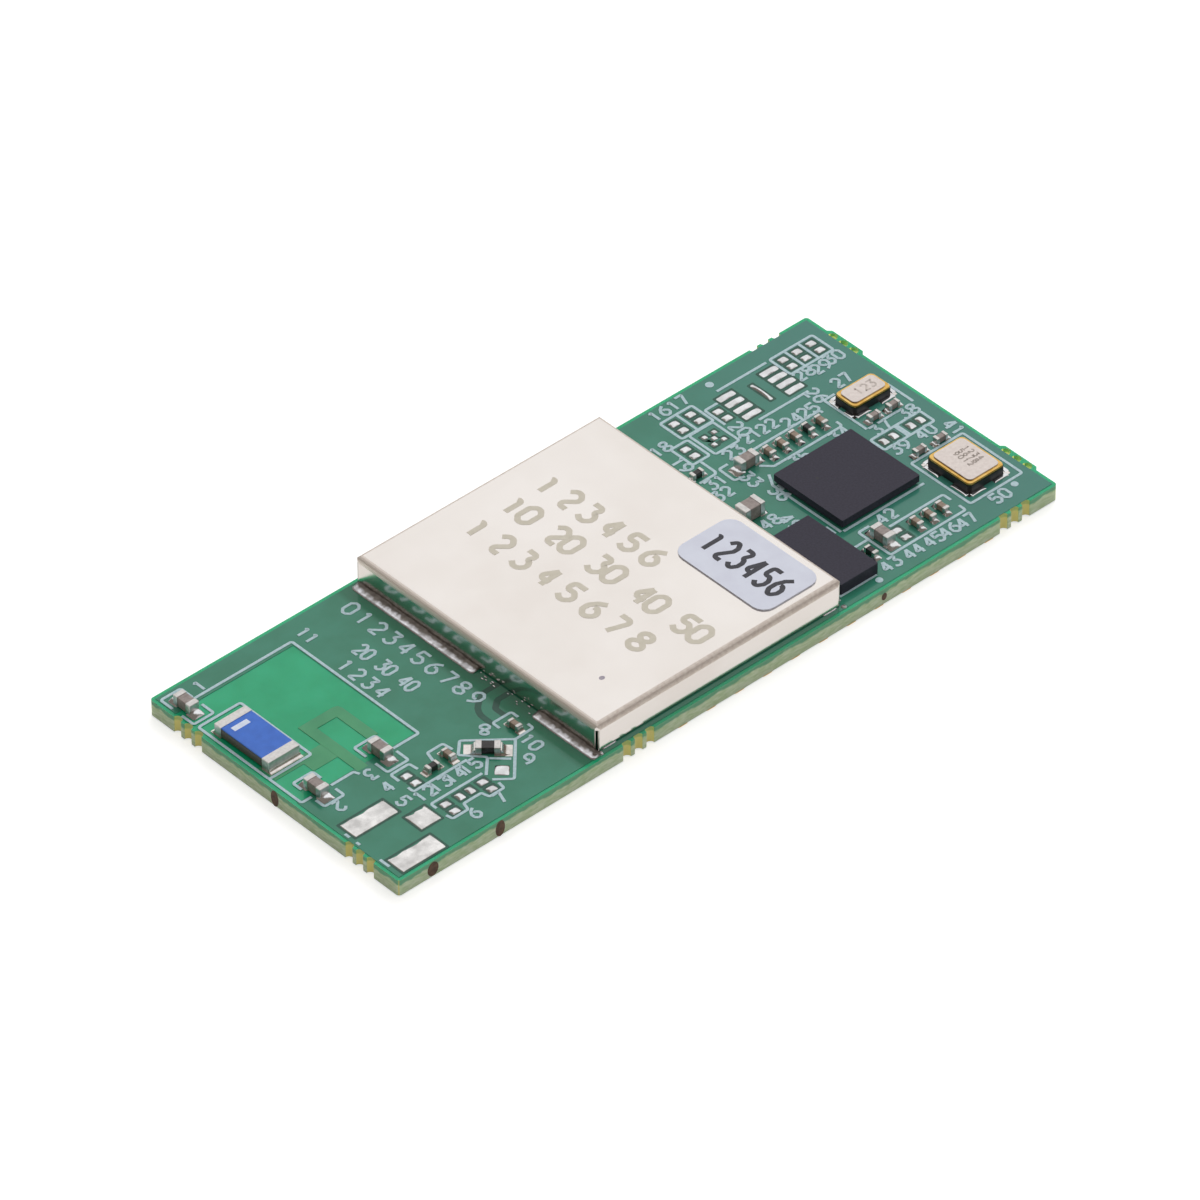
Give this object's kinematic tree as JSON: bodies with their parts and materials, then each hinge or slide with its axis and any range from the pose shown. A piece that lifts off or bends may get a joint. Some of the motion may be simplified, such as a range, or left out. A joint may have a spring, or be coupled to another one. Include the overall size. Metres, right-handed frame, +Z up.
{
  "type": "wifi module",
  "caption": "Surface-mount wireless network module: small circuit board with a folded shield can, chip antenna, controller chip, memory chip and two crystals.",
  "frame": {"origin": "centre of the underside, at the lower face of the solder lands", "axes": "+X along the board from the antenna end to the crystal end, +Z up out of the component side"},
  "size_m": [0.0352, 0.0144, 0.0022],
  "materials": {
    "board": "green solder mask over glass-filled epoxy",
    "gold": "gold-plated copper",
    "shield": "satin nickel silver sheet",
    "solder": "bright tin solder",
    "label": "pale film label",
    "antenna_glaze": "blue glazed ceramic",
    "capacitor": "matt ceramic",
    "resistor": "black glaze on ceramic",
    "chip_package": "matt dark silicon or resin",
    "crystal_base": "dark fired ceramic",
    "crystal_lid": "satin metal lid"
  },
  "bodies": {
    "root": {"circuit_board": "board", "perimeter_lands": "gold", "ground_lands": "gold", "shield_can": "shield", "shield_solder": "solder", "serial_label": "label", "antenna_body": "antenna_glaze", "antenna_terminals": "solder", "antenna_joints": "solder", "antenna_capacitors": "capacitor", "antenna_capacitor_terminals": "solder", "antenna_capacitor_joints": "solder", "matching_capacitors": "capacitor", "matching_inductor": "capacitor", "matching_terminals": "solder", "matching_joints": "solder", "path_resistor": "resistor", "path_resistor_terminals": "solder", "path_resistor_joints": "solder", "connector_pads": "solder", "matching_pads": "solder", "controller_chip": "chip_package", "controller_balls": "solder", "memory_chip": "chip_package", "memory_joints": "solder", "large_crystal_base": "crystal_base", "large_crystal_ring": "gold", "large_crystal_lid": "crystal_lid", "large_crystal_joints": "solder", "small_crystal_base": "crystal_base", "small_crystal_ring": "gold", "small_crystal_lid": "crystal_lid", "small_crystal_joints": "solder", "load_capacitors": "capacitor", "load_capacitor_terminals": "solder", "load_capacitor_joints": "solder", "supply_capacitors": "capacitor", "supply_capacitor_terminals": "solder", "supply_capacitor_joints": "solder", "bypass_capacitors": "capacitor", "bypass_capacitor_terminals": "solder", "bypass_capacitor_joints": "solder", "option_resistors": "resistor", "option_resistor_terminals": "solder", "option_resistor_joints": "solder", "option_pads": "solder", "sensor_pads": "solder", "expansion_pads": "solder", "radio_chip": "chip_package", "radio_balls": "solder", "front_end_module": "chip_package", "radio_pads": "solder", "radio_crystal_base": "crystal_base", "radio_crystal_lid": "crystal_lid", "radio_capacitors": "capacitor", "radio_capacitor_terminals": "solder", "radio_capacitor_joints": "solder", "power_inductor": "chip_package", "power_inductor_joints": "solder"}
  },
  "joints": []
}
